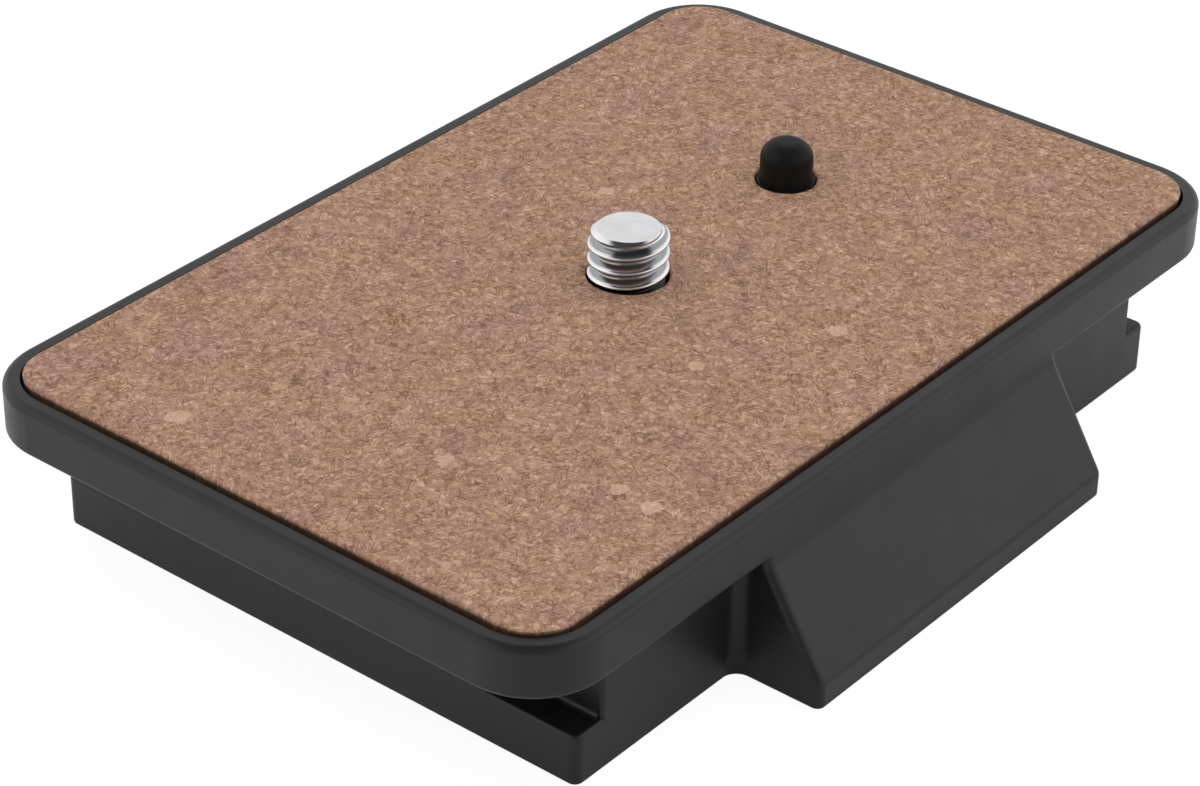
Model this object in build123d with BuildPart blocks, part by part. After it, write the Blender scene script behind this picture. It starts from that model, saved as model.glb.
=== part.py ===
from build123d import *
import math
import os

os.makedirs("parts", exist_ok=True)

# The plate's own frame: +X along the long side, towards the locating pin, and +Z up through the
# cork. The origin is the middle of the underside, on the camera screw's axis. Millimetres.

# Tray that holds the cork
tray_length = 84.8
tray_width = 54.7
tray_corner = 6.0
rim_height = 4.2
rim_wall = 1.3
rim_top_round = 0.6
rim_bottom_round = 0.4
recess_depth = 1.6
floor_thickness = 3.0

# Base below the tray: neck, end flanges and side wedges
base_height = 10.65
neck_length = 66.3
neck_width = 49.7
neck_corner = 0.4
flange_reach = 2.7
flange_height = 4.3
flange_corner = 0.75
flange_top_round = 0.3
groove_root_round = 0.5
base_edge_round = 0.3
wedge_width = 36.4
wedge_angle = 31.5
wedge_lip_height = 2.15
wedge_drop = 0.25
wedge_blend_round = 2.0
wedge_lip_round = 1.0
wedge_side_round = 0.7
wedge_root_round = 1.2
wedge_overlap = 2.0

# Coring of the underside
core_wall = 2.2
core_corner = 1.2
core_rows = 5
rib_wall = 1.4
rib_foot = 0.8
wedge_cells = 3
wedge_core_top = 1.2
well_gap = 0.8
well_wall = 1.8

# Cork pad
cork_thickness = 2.0
cork_gap = 0.45
cork_corner = 3.8
cork_screw_gap = 0.3
cork_pin_gap = 0.13

# Camera screw
thread_radius = 3.175
screw_tip_radius = 2.55
screw_tip_height = 0.55
screw_rise = 4.15
shank_radius = 2.76
thread_start_depth = 0.1
groove_radius = 2.2
shoulder_radius = 3.95
shoulder_gap = 0.1
head_radius = 7.5
head_height = 5.0
head_chamfer = 0.4
coin_slot_width = 2.2
coin_slot_depth = 1.9

# Clip under the cork, and washer over the screw's head
clip_thickness = 0.8
clip_radius = 5.0
clip_band = 1.3
clip_tab_width = 2.0
clip_mouth = 3.9
clip_gap = 0.05
clip_pocket_gap = 1.5
clip_pocket_depth = 1.3
washer_radius = 6.8
washer_thickness = 0.25
washer_cup = 0.3
washer_gap = 0.1
washer_bore_gap = 0.35

# Wire ring in the screw's head
ring_wire_radius = 1.0
ring_head_gap = 0.5
ring_straight = 2.2
ring_bend_radius = 1.5
ring_pivot_depth = 2.8
ring_end_depth = 2.1
ring_hole_gap = 0.12
ring_hole_spare = 0.2

# Locating pin and its spring
pin_x = 20.0
pin_radius = 2.135
pin_rise = 3.33
pin_dome_round = 1.5
pin_shank_radius = 2.35
pin_step_depth = 0.1
pin_bore_gap = 0.1
pin_collar_radius = 3.5
pin_collar_height = 1.2
pin_collar_play = 0.05
pin_stub_radius = 2.3
pin_stub_length = 2.5
pin_edge_chamfer = 0.2
pocket_gap = 0.2
pocket_wall = 1.8
spring_wire_radius = 0.25
spring_wall_gap = 0.45
spring_turns = 4.5
spring_length = 6.1

# Strap that closes the pin's pocket, and its two screws
strap_thickness = 0.8
strap_eye_margin = 0.9
strap_arm_width = 5.4
strap_gap = 0.4
strap_screw_pitch = 15.2
strap_hole_gap = 0.2
boss_wall = 1.55
tapping_radius = 1.0
tapping_length = 5.0
tapping_point = 0.8
tapping_gap = 0.05
tapping_spare = 0.5
tapping_head_radius = 2.0
tapping_head_height = 1.2
tapping_head_round = 0.6
drive_width = 0.6
drive_length = 2.2
drive_depth = 0.7

# Heights above the underside
rim_top = base_height + rim_height
recess_floor = rim_top - recess_depth
ceiling = recess_floor - floor_thickness
cork_top = recess_floor + cork_thickness
clip_seat = recess_floor - clip_pocket_depth
clip_bottom = clip_seat + clip_gap
groove_top = clip_bottom + clip_thickness + clip_gap
thread_start = cork_top - thread_start_depth
screw_top = cork_top + screw_rise
head_top = ceiling - washer_gap - washer_cup - washer_thickness
head_bottom = head_top - head_height
ring_z = head_top - ring_pivot_depth
pin_top = cork_top + pin_rise
collar_top = ceiling - pin_collar_play
collar_bottom = collar_top - pin_collar_height
strap_top = collar_bottom - spring_length
strap_bottom = strap_top - strap_thickness

# Outlines of the base
slant = math.tan(math.radians(wedge_angle))
slant_wall = core_wall / math.cos(math.radians(wedge_angle))
wedge_root_y = neck_width / 2
wedge_top_y = tray_width / 2
wedge_top = base_height - wedge_drop
wedge_lip_y = wedge_top_y + (wedge_top - wedge_lip_height) * slant
wedge_peak = base_height + rim_height / 2
wedge_core_lip_y = wedge_lip_y - slant_wall
wedge_core_top_y = wedge_root_y + wedge_core_top
wedge_core_height = wedge_lip_height + (wedge_core_lip_y - wedge_core_top_y) / slant
flange_length = neck_length + 2 * flange_reach
groove_root_length = neck_width - 2 * max(neck_corner, flange_top_round)
cavity_length = neck_length - 2 * core_wall
cavity_width = neck_width - 2 * core_wall
rib_pitch = (cavity_width + rib_wall) / core_rows
wedge_cavity_width = wedge_width - 2 * core_wall
wedge_rib_pitch = (wedge_cavity_width + rib_wall) / wedge_cells

# Radii and places that follow from the pieces they fit
ring_reach = head_radius + ring_head_gap + ring_wire_radius
ring_end_y = head_radius - ring_end_depth
well_radius = ring_straight + ring_reach + ring_wire_radius + well_gap
clip_pocket_radius = clip_radius + clip_pocket_gap
pocket_radius = pin_collar_radius + pocket_gap
pin_boss_radius = pocket_radius + pocket_wall
spring_radius = pocket_radius - spring_wall_gap - spring_wire_radius
strap_eye_radius = pocket_radius + strap_eye_margin
strap_length = strap_screw_pitch + strap_arm_width
tapping_bore = tapping_radius + tapping_gap
screw_boss_radius = tapping_bore + boss_wall
strap_screws = [(pin_x, side * strap_screw_pitch / 2) for side in (-1, 1)]


def profile_plane(x, y):
    """Upright plane, seen from -Y, whose own origin is at (x, y) on the underside."""
    return Plane(origin=(x, y, 0), x_dir=(1, 0, 0), z_dir=(0, -1, 0))


def upright_axis(x, y):
    """Axis of a turned piece that stands at (x, y)."""
    return Axis((x, y, 0), (0, 0, 1))


# One dovetail wedge, on the +Y side
with BuildPart() as wedge:
    with BuildSketch(Plane.YZ.offset(-wedge_width / 2)):
        with BuildLine():
            Polyline(
                (wedge_root_y - wedge_overlap, 0),
                (wedge_lip_y, 0),
                (wedge_lip_y, wedge_lip_height),
                (wedge_top_y, wedge_top),
                (wedge_top_y, wedge_peak),
                (wedge_root_y - wedge_overlap, wedge_peak),
                close=True,
            )
        make_face()
    extrude(amount=wedge_width)
    long_edges = wedge.edges().filter_by(Axis.X)
    fillet(long_edges.filter_by(lambda edge: abs(edge.center().Z - wedge_top) < wedge_drop), wedge_blend_round)
    fillet(long_edges.filter_by(lambda edge: abs(edge.center().Z - wedge_lip_height) < wedge_drop), wedge_lip_round)
    side_edges = wedge.edges().filter_by(
        lambda edge: abs(edge.center().X) > wedge_width / 2 - wedge_side_round
        and edge.center().Y > wedge_top_y - wedge_drop
        and edge.center().Z > wedge_lip_height / 4
    )
    fillet(side_edges, wedge_side_round)

# Slab that forms both end flanges under the neck
with BuildPart() as flange_slab:
    with BuildSketch():
        RectangleRounded(flange_length, neck_width, flange_corner)
    extrude(amount=flange_height)
    fillet(flange_slab.faces().sort_by(Axis.Z)[-1].edges(), flange_top_round)

# Rounded inner corner of the groove at the +X end
with BuildPart() as groove_root:
    with BuildSketch(Plane.XZ.offset(-groove_root_length / 2)):
        with Locations((neck_length / 2, flange_height)):
            Rectangle(2 * groove_root_round, 2 * groove_root_round)
        with Locations((neck_length / 2 + groove_root_round, flange_height + groove_root_round)):
            Circle(groove_root_round, mode=Mode.SUBTRACT)
    extrude(amount=groove_root_length)

# Space inside one wedge, between the neck's side wall and the slanted wall, in cells
with BuildPart() as wedge_core:
    with BuildSketch(Plane.YZ.offset(-wedge_cavity_width / 2)):
        with BuildLine():
            Polyline(
                (wedge_root_y, 0),
                (wedge_core_lip_y, 0),
                (wedge_core_lip_y, wedge_lip_height),
                (wedge_core_top_y, wedge_core_height),
                (wedge_root_y, wedge_core_height),
                close=True,
            )
        make_face()
    extrude(amount=wedge_cavity_width)
    with BuildSketch(Plane.XY.offset(rib_foot)):
        with Locations((0, wedge_root_y)):
            with GridLocations(wedge_rib_pitch, 0, wedge_cells - 1, 1):
                Rectangle(rib_wall, 4 * wedge_lip_y)
    extrude(amount=base_height, mode=Mode.SUBTRACT)

# Space inside the neck, around the well, the ribs and the bosses
with BuildPart() as neck_core:
    with BuildSketch():
        RectangleRounded(cavity_length, cavity_width, core_corner)
    extrude(amount=ceiling)
    with BuildSketch(Plane.XY.offset(rib_foot)):
        Circle(well_radius + well_wall)
        with GridLocations(0, rib_pitch, 1, core_rows - 1):
            Rectangle(neck_length, rib_wall)
        with GridLocations(2 * (well_radius + well_wall), 0, 2, 1):
            Rectangle(rib_wall, neck_width)
        Rectangle(rib_wall, neck_width)
        with Locations((pin_x, 0)):
            Circle(pin_boss_radius)
        with Locations(strap_screws):
            Circle(screw_boss_radius)
    extrude(amount=ceiling, mode=Mode.SUBTRACT)

# Moulded body: tray, neck, flanges and wedges in one piece
with BuildPart() as plate_body:
    with BuildSketch(Plane.XY.offset(base_height)):
        RectangleRounded(tray_length, tray_width, tray_corner)
    extrude(amount=rim_height)
    fillet(plate_body.faces().sort_by(Axis.Z)[-1].edges(), rim_top_round)
    fillet(plate_body.faces().sort_by(Axis.Z)[0].edges(), rim_bottom_round)
    with BuildSketch():
        RectangleRounded(neck_length, neck_width, neck_corner)
    extrude(amount=base_height)
    add(flange_slab.part)
    add(groove_root.part)
    mirror(groove_root.part, about=Plane.YZ)
    add(wedge.part)
    mirror(wedge.part, about=Plane.XZ)
    root_edges = plate_body.edges().filter_by(Axis.Z).filter_by(
        lambda edge: abs(abs(edge.center().X) - wedge_width / 2) < rim_bottom_round
        and abs(abs(edge.center().Y) - wedge_root_y) < rim_bottom_round
    )
    fillet(root_edges, wedge_root_round)
    fillet(plate_body.faces().sort_by(Axis.Z)[0].outer_wire().edges(), base_edge_round)

    # Recess for the cork
    with BuildSketch(Plane.XY.offset(recess_floor)):
        RectangleRounded(tray_length - 2 * rim_wall, tray_width - 2 * rim_wall, tray_corner - rim_wall)
    extrude(amount=recess_depth, mode=Mode.SUBTRACT)

    # Cored underside
    add(neck_core.part, mode=Mode.SUBTRACT)
    add(wedge_core.part, mode=Mode.SUBTRACT)
    mirror(wedge_core.part, about=Plane.XZ, mode=Mode.SUBTRACT)

    # Round well for the screw's head and ring
    with BuildSketch():
        Circle(well_radius)
    extrude(amount=ceiling, mode=Mode.SUBTRACT)
    with Locations((0, 0, recess_floor)):
        CounterBoreHole(shoulder_radius + shoulder_gap, clip_pocket_radius, clip_pocket_depth, floor_thickness)

    # Pocket, bore and strap seat for the locating pin
    with BuildSketch():
        with Locations((pin_x, 0)):
            Circle(strap_eye_radius + strap_gap)
            SlotOverall(strap_length + 2 * strap_gap, strap_arm_width + 2 * strap_gap, rotation=90)
    extrude(amount=strap_top, mode=Mode.SUBTRACT)
    with BuildSketch(Plane.XY.offset(strap_top)):
        with Locations((pin_x, 0)):
            Circle(pocket_radius)
    extrude(amount=ceiling - strap_top, mode=Mode.SUBTRACT)
    with Locations((pin_x, 0, recess_floor)):
        Hole(pin_shank_radius + pin_bore_gap, floor_thickness)
    with BuildSketch(Plane.XY.offset(strap_top)):
        with Locations(strap_screws):
            Circle(tapping_bore)
    extrude(amount=tapping_length + tapping_spare - strap_thickness, mode=Mode.SUBTRACT)

plate_body.part.label = "plate_body"
export_step(plate_body.part, "parts/plate_body.step")

# Cork pad, die-cut to lie in the recess with a narrow gap round it
with BuildPart() as cork_pad:
    with BuildSketch(Plane.XY.offset(recess_floor)):
        cork_inset = 2 * (rim_wall + cork_gap)
        RectangleRounded(tray_length - cork_inset, tray_width - cork_inset, cork_corner)
        Circle(thread_radius + cork_screw_gap, mode=Mode.SUBTRACT)
        with Locations((pin_x, 0)):
            Circle(pin_shank_radius + cork_pin_gap, mode=Mode.SUBTRACT)
    extrude(amount=cork_thickness)

cork_pad.part.label = "cork_pad"
export_step(cork_pad.part, "parts/cork_pad.step")

# Camera screw: head, bearing shoulder, clip groove, shank and thread in one turning
with BuildPart() as camera_screw:
    with BuildSketch(Plane.XZ):
        with BuildLine():
            Polyline(
                (0, head_bottom),
                (head_radius - head_chamfer, head_bottom),
                (head_radius, head_bottom + head_chamfer),
                (head_radius, head_top - head_chamfer),
                (head_radius - head_chamfer, head_top),
                (shoulder_radius, head_top),
                (shoulder_radius, clip_seat - clip_gap),
                (groove_radius, clip_seat - clip_gap),
                (groove_radius, groove_top),
                (shank_radius, groove_top),
                (shank_radius, thread_start),
                (thread_radius, thread_start),
                (thread_radius, screw_top - screw_tip_height),
                (screw_tip_radius, screw_top),
                (0, screw_top),
                close=True,
            )
        make_face()
    revolve(axis=Axis.Z)
    with BuildSketch(Plane.XY.offset(head_bottom)):
        Rectangle(3 * head_radius, coin_slot_width)
    extrude(amount=coin_slot_depth, mode=Mode.SUBTRACT)
    for side in (-1, 1):
        with Locations(Plane(origin=(0, side * head_radius, ring_z), z_dir=(0, side, 0))):
            Hole(ring_wire_radius + ring_hole_gap, ring_end_depth + ring_hole_spare)

camera_screw.part.label = "camera_screw"
export_step(camera_screw.part, "parts/camera_screw.step")

# Retaining clip: an open ring with three tabs that reach into the screw's groove
with BuildPart() as retaining_clip:
    with BuildSketch(Plane.XY.offset(clip_bottom)):
        tab_reach = clip_radius - clip_band / 2
        Circle(clip_radius)
        Circle(clip_radius - clip_band, mode=Mode.SUBTRACT)
        with PolarLocations(tab_reach / 2, 3, start_angle=60):
            Rectangle(tab_reach, clip_tab_width)
        Circle(groove_radius + clip_gap, mode=Mode.SUBTRACT)
        with Locations((clip_radius, 0)):
            Rectangle(2 * clip_radius, clip_mouth, mode=Mode.SUBTRACT)
    extrude(amount=clip_thickness)

retaining_clip.part.label = "retaining_clip"
export_step(retaining_clip.part, "parts/retaining_clip.step")

# Friction washer: a shallow spring-steel cup over the screw's head
with BuildPart() as friction_washer:
    with BuildSketch(Plane.XZ):
        with BuildLine():
            washer_bore = shoulder_radius + washer_bore_gap
            Polyline(
                (washer_radius, head_top),
                (washer_radius, head_top + washer_thickness),
                (washer_bore, head_top + washer_cup + washer_thickness),
                (washer_bore, head_top + washer_cup),
                close=True,
            )
        make_face()
    revolve(axis=Axis.Z)

friction_washer.part.label = "friction_washer"
export_step(friction_washer.part, "parts/friction_washer.step")

# Ring: bent wire, its two ends turned into the head's side holes
with BuildPart() as d_ring:
    with BuildLine() as ring_path:
        bend_y = ring_reach - ring_bend_radius
        first_end = Line((0, ring_end_y, ring_z), (0, bend_y, ring_z))
        first_bend = JernArc(first_end @ 1, first_end % 1, ring_bend_radius, -90)
        first_leg = Line(first_bend @ 1, (ring_straight, ring_reach, ring_z))
        bow = JernArc(first_leg @ 1, first_leg % 1, ring_reach, -180)
        second_leg = Line(bow @ 1, (ring_bend_radius, -ring_reach, ring_z))
        second_bend = JernArc(second_leg @ 1, second_leg % 1, ring_bend_radius, -90)
        Line(second_bend @ 1, (0, -ring_end_y, ring_z))
    with BuildSketch(Plane(origin=first_end @ 0, z_dir=first_end % 0)):
        Circle(ring_wire_radius)
    sweep(path=ring_path.line)

d_ring.part.label = "d_ring"
export_step(d_ring.part, "parts/d_ring.step")

# Locating pin: domed tip, stouter shank, collar and spring stub
with BuildPart() as video_pin:
    with BuildSketch(profile_plane(pin_x, 0)):
        with BuildLine():
            dome_edge = pin_radius - pin_dome_round
            stub_end = collar_bottom - pin_stub_length
            Polyline(
                (pin_radius, pin_top - pin_dome_round),
                (pin_radius, cork_top - pin_step_depth),
                (pin_shank_radius, cork_top - pin_step_depth),
                (pin_shank_radius, collar_top),
                (pin_collar_radius - pin_edge_chamfer, collar_top),
                (pin_collar_radius, collar_top - pin_edge_chamfer),
                (pin_collar_radius, collar_bottom),
                (pin_stub_radius, collar_bottom),
                (pin_stub_radius, stub_end + pin_edge_chamfer),
                (pin_stub_radius - pin_edge_chamfer, stub_end),
                (0, stub_end),
                (0, pin_top),
                (dome_edge, pin_top),
            )
            RadiusArc((dome_edge, pin_top), (pin_radius, pin_top - pin_dome_round), pin_dome_round)
        make_face()
    revolve(axis=upright_axis(pin_x, 0))

video_pin.part.label = "video_pin"
export_step(video_pin.part, "parts/video_pin.step")

# Pin spring, with both ends ground flat against the strap and the collar
with BuildPart() as pin_spring:
    with BuildLine() as coil:
        Helix(spring_length / spring_turns, spring_length, spring_radius, center=(pin_x, 0, strap_top))
    with BuildSketch(Plane(origin=coil.line @ 0, z_dir=coil.line % 0)):
        Circle(spring_wire_radius)
    sweep(path=coil.line)
    split(bisect_by=Plane.XY.offset(strap_top), keep=Keep.TOP)
    split(bisect_by=Plane.XY.offset(collar_bottom), keep=Keep.BOTTOM)

pin_spring.part.label = "pin_spring"
export_step(pin_spring.part, "parts/pin_spring.step")

# Strap: stamped from sheet, with a round eye that carries the spring
with BuildPart() as pin_retainer:
    with BuildSketch(Plane.XY.offset(strap_bottom)):
        with Locations((pin_x, 0)):
            Circle(strap_eye_radius)
            SlotOverall(strap_length, strap_arm_width, rotation=90)
        with Locations(strap_screws):
            Circle(tapping_radius + strap_hole_gap, mode=Mode.SUBTRACT)
    extrude(amount=strap_thickness)

pin_retainer.part.label = "pin_retainer"
export_step(pin_retainer.part, "parts/pin_retainer.step")

# The strap's two self-tapping screws, with pan heads and cross recesses
for number, (screw_x, screw_y) in enumerate(strap_screws, start=1):
    with BuildPart() as retainer_screw:
        with BuildSketch(profile_plane(screw_x, screw_y)):
            with BuildLine():
                tapping_tip = strap_bottom + tapping_length
                head_face = strap_bottom - tapping_head_height
                pan_radius = tapping_head_radius - tapping_head_round
                Polyline(
                    (tapping_head_radius, head_face + tapping_head_round),
                    (tapping_head_radius, strap_bottom),
                    (tapping_radius, strap_bottom),
                    (tapping_radius, tapping_tip - tapping_point),
                    (0, tapping_tip),
                    (0, head_face),
                    (pan_radius, head_face),
                )
                RadiusArc(
                    (pan_radius, head_face),
                    (tapping_head_radius, head_face + tapping_head_round),
                    -tapping_head_round,
                )
            make_face()
        revolve(axis=upright_axis(screw_x, screw_y))
        with BuildSketch(Plane.XY.offset(head_face)):
            with Locations((screw_x, screw_y)):
                Rectangle(drive_length, drive_width)
                Rectangle(drive_width, drive_length)
        extrude(amount=drive_depth, mode=Mode.SUBTRACT)

    retainer_screw.part.label = f"retainer_screw_{number}"
    export_step(retainer_screw.part, f"parts/retainer_screw_{number}.step")
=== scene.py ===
import logging
import math
from dataclasses import dataclass
from enum import Enum
from typing import Callable

import bmesh
import bpy
from mathutils import Matrix, Vector


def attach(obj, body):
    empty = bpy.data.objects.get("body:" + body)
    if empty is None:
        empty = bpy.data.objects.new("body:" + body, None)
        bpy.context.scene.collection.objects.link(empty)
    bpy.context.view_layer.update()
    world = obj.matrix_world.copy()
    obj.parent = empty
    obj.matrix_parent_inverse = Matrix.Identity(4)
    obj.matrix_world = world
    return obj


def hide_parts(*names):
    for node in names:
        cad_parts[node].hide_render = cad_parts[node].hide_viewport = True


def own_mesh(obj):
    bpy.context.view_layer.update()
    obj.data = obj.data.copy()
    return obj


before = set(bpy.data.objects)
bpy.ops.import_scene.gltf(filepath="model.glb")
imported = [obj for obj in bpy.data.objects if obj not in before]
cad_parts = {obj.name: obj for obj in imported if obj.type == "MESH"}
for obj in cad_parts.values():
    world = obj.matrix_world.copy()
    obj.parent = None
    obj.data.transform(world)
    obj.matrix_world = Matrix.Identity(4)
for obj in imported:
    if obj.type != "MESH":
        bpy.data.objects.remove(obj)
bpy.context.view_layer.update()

MM = 0.001
LOG = logging.getLogger("quick_release_plate")

Socket = bpy.types.NodeSocket
Triple = tuple[float, float, float]


class Body(Enum):
    """Bodies that the new pieces ride on."""

    PLATE = "plate"
    SCREW = "screw"


class Slot(Enum):
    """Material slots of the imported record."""

    CORK = "cork"
    POLISHED = "polished_steel"
    SPRING = "spring_steel"
    PLATED = "plated_steel"


class Cut(Enum):
    """Ways in which one closed mesh works on another."""

    JOIN = "UNION"
    REMOVE = "DIFFERENCE"
    KEEP_COMMON = "INTERSECT"


def linear(red: float, green: float, blue: float) -> tuple[float, float, float, float]:
    """Turns a display colour of 0 to 255 into the linear colour that shaders use.

    Args:
        red: Red as displayed.
        green: Green as displayed.
        blue: Blue as displayed.

    Returns:
        Linear red, green and blue, and an alpha of 1.
    """
    shares = [channel / 255.0 for channel in (red, green, blue)]
    values = [share / 12.92 if share <= 0.04045 else ((share + 0.055) / 1.055) ** 2.4 for share in shares]
    return (values[0], values[1], values[2], 1.0)


class NodeGraph:
    """A node tree, with short calls for the nodes that the finishes and the studio share."""

    USUAL = (0.3, 0.7)        # the range that soft noise seldom leaves

    def __init__(self, tree: bpy.types.NodeTree) -> None:
        """Takes the tree.

        Args:
            tree: Node tree of a material or of the world.
        """
        self.tree = tree
        self.place = None

    def add(self, kind: str, **settings: object) -> bpy.types.Node:
        """Adds one node and sets its properties.

        Args:
            kind: Blender's name of the node type.
            **settings: Properties of the node.

        Returns:
            The new node.
        """
        node = self.tree.nodes.new(kind)
        for key, value in settings.items():
            setattr(node, key, value)
        return node

    def feed(self, socket: Socket, value: object) -> None:
        """Gives an input its value, or links another node's output to it.

        Args:
            socket: The input.
            value: A number, a colour or an output socket.
        """
        if isinstance(value, Socket):
            self.tree.links.new(value, socket)
        else:
            socket.default_value = value

    def math(self, operation: str, first: object, second: object = 0.0) -> Socket:
        """Works out one number from two.

        Args:
            operation: Blender's name of the operation.
            first: A number or a socket.
            second: A number or a socket.

        Returns:
            The result's socket.
        """
        node = self.add("ShaderNodeMath", operation=operation)
        self.feed(node.inputs[0], first)
        self.feed(node.inputs[1], second)
        return node.outputs[0]

    def times(self, first: object, second: object) -> Socket:
        """Multiplies two numbers."""
        return self.math("MULTIPLY", first, second)

    def lead(self, first: object, second: object, share: Socket) -> Socket:
        """Goes from one number to another by a share."""
        return self.math("ADD", first, self.times(share, self.math("SUBTRACT", second, first)))

    def vector(self, operation: str, first: object, second: object = (0.0, 0.0, 0.0)) -> Socket:
        """Works out a vector, a length or a dot product.

        Args:
            operation: Blender's name of the operation.
            first: A vector or a socket.
            second: A vector or a socket, or the factor of SCALE.

        Returns:
            The result's socket.
        """
        node = self.add("ShaderNodeVectorMath", operation=operation)
        self.feed(node.inputs[0], first)
        self.feed(node.inputs["Scale" if operation == "SCALE" else 1], second)
        return node.outputs["Value" if operation in ("LENGTH", "DOT_PRODUCT") else "Vector"]

    def noise(self, size: float, detail: float = 2.0, roughness: float = 0.5, distortion: float = 0.0,
              place: Socket | None = None, output: str = "Fac") -> Socket:
        """Adds soft noise.

        Args:
            size: Typical size of a blot, in metres.
            detail: Number of finer layers.
            roughness: Strength of the finer layers.
            distortion: Amount of swirl.
            place: Coordinates, or None for the object's own.
            output: Fac for one number, Color for three.

        Returns:
            The noise's socket.
        """
        node = self.add("ShaderNodeTexNoise")
        self.feed(node.inputs["Vector"], place or self.place)
        node.inputs["Scale"].default_value = 1.0 / size
        node.inputs["Detail"].default_value = detail
        node.inputs["Roughness"].default_value = roughness
        node.inputs["Distortion"].default_value = distortion
        return node.outputs[output]

    def cells(self, size: float, place: Socket, feature: str = "F1") -> bpy.types.Node:
        """Adds a pattern of irregular cells.

        Args:
            size: Typical size of a cell, in metres.
            place: The coordinates.
            feature: F1 for the cells themselves, DISTANCE_TO_EDGE for their borders.

        Returns:
            The cell pattern's node.
        """
        node = self.add("ShaderNodeTexVoronoi", feature=feature)
        self.feed(node.inputs["Vector"], place)
        node.inputs["Scale"].default_value = 1.0 / size
        return node

    def warp(self, place: Socket, size: float, reach: float, detail: float = 2.0) -> Socket:
        """Pushes coordinates about by noise, so that straight borders turn ragged.

        Args:
            place: The coordinates.
            size: Typical size of a swirl, in metres.
            reach: How far a point may move, in metres.
            detail: Number of finer layers.

        Returns:
            The moved coordinates.
        """
        swirl = self.noise(size, detail, place=place, output="Color")
        push = self.vector("SUBTRACT", swirl, (0.5, 0.5, 0.5))
        return self.vector("ADD", place, self.vector("SCALE", push, 2.0 * reach))

    def span(self, value: object, low: float, high: float, to_low: float = 0.0, to_high: float = 1.0,
             smooth: bool = True) -> Socket:
        """Maps a range of numbers to another, held at its ends.

        Args:
            value: The number.
            low: Start of the range.
            high: End of the range.
            to_low: Result at the start.
            to_high: Result at the end.
            smooth: Whether the change eases in and out.

        Returns:
            The result's socket.
        """
        node = self.add("ShaderNodeMapRange", interpolation_type="SMOOTHSTEP" if smooth else "LINEAR")
        for socket, number in zip(node.inputs, (value, low, high, to_low, to_high)):
            self.feed(socket, number)
        return node.outputs["Result"]

    def fade(self, value: object, low: float, high: float) -> Socket:
        """Falls from 1 to 0 over a range of numbers."""
        return self.span(value, low, high, 1.0, 0.0)

    def swing(self, noise: Socket, low: float, high: float) -> Socket:
        """Maps the usual range of soft noise to another."""
        return self.span(noise, *self.USUAL, low, high)

    def ramp(self, value: Socket, stops: tuple[tuple[float, Triple], ...]) -> Socket:
        """Turns a number into a colour.

        Args:
            value: The number.
            stops: Places from 0 to 1, each with its colour as displayed.

        Returns:
            The colour's socket.
        """
        node = self.add("ShaderNodeValToRGB")
        marks = node.color_ramp.elements
        while len(marks) < len(stops):
            marks.new(0.5)
        for mark, (at, colour) in zip(marks, stops):
            mark.position = at
            mark.color = linear(*colour)
        self.feed(node.inputs["Fac"], value)
        return node.outputs["Color"]

    def mix(self, share: object, first: object, second: object, blend: str = "MIX") -> Socket:
        """Mixes two colours.

        Args:
            share: How much of the second colour shows, from 0 to 1.
            first: Colour or socket.
            second: Colour or socket.
            blend: Blender's name of the way of mixing.

        Returns:
            The mixed colour's socket.
        """
        node = self.add("ShaderNodeMix", data_type="RGBA", blend_type=blend)
        self.feed(node.inputs["Factor"], share)
        first_colour, second_colour = [socket for socket in node.inputs if socket.type == "RGBA"]
        self.feed(first_colour, first)
        self.feed(second_colour, second)
        return next(socket for socket in node.outputs if socket.type == "RGBA")

    def channel(self, cells: bpy.types.Node, name: str) -> Socket:
        """Takes one random number per cell.

        Args:
            cells: The cell pattern.
            name: Red, Green or Blue.

        Returns:
            The number's socket.
        """
        split = self.add("ShaderNodeSeparateColor")
        self.feed(split.inputs["Color"], cells.outputs["Color"])
        return split.outputs[name]

    def relief(self, height: Socket, depth: float, strength: float) -> Socket:
        """Turns a height pattern into a surface relief.

        Args:
            height: The height, from 0 to 1.
            depth: Height of the relief, in metres.
            strength: Share of the relief that shows.

        Returns:
            The relief's normal.
        """
        node = self.add("ShaderNodeBump")
        node.inputs["Strength"].default_value = strength
        node.inputs["Distance"].default_value = depth
        self.feed(node.inputs["Height"], height)
        return node.outputs["Normal"]

    def either(self, share: object, first: Socket, second: Socket) -> Socket:
        """Mixes two shaders.

        Args:
            share: How much of the second shader shows, from 0 to 1.
            first: The first shader.
            second: The second shader.

        Returns:
            The mixed shader's socket.
        """
        node = self.add("ShaderNodeMixShader")
        for socket, value in zip(node.inputs, (share, first, second)):
            self.feed(socket, value)
        return node.outputs[0]


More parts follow.
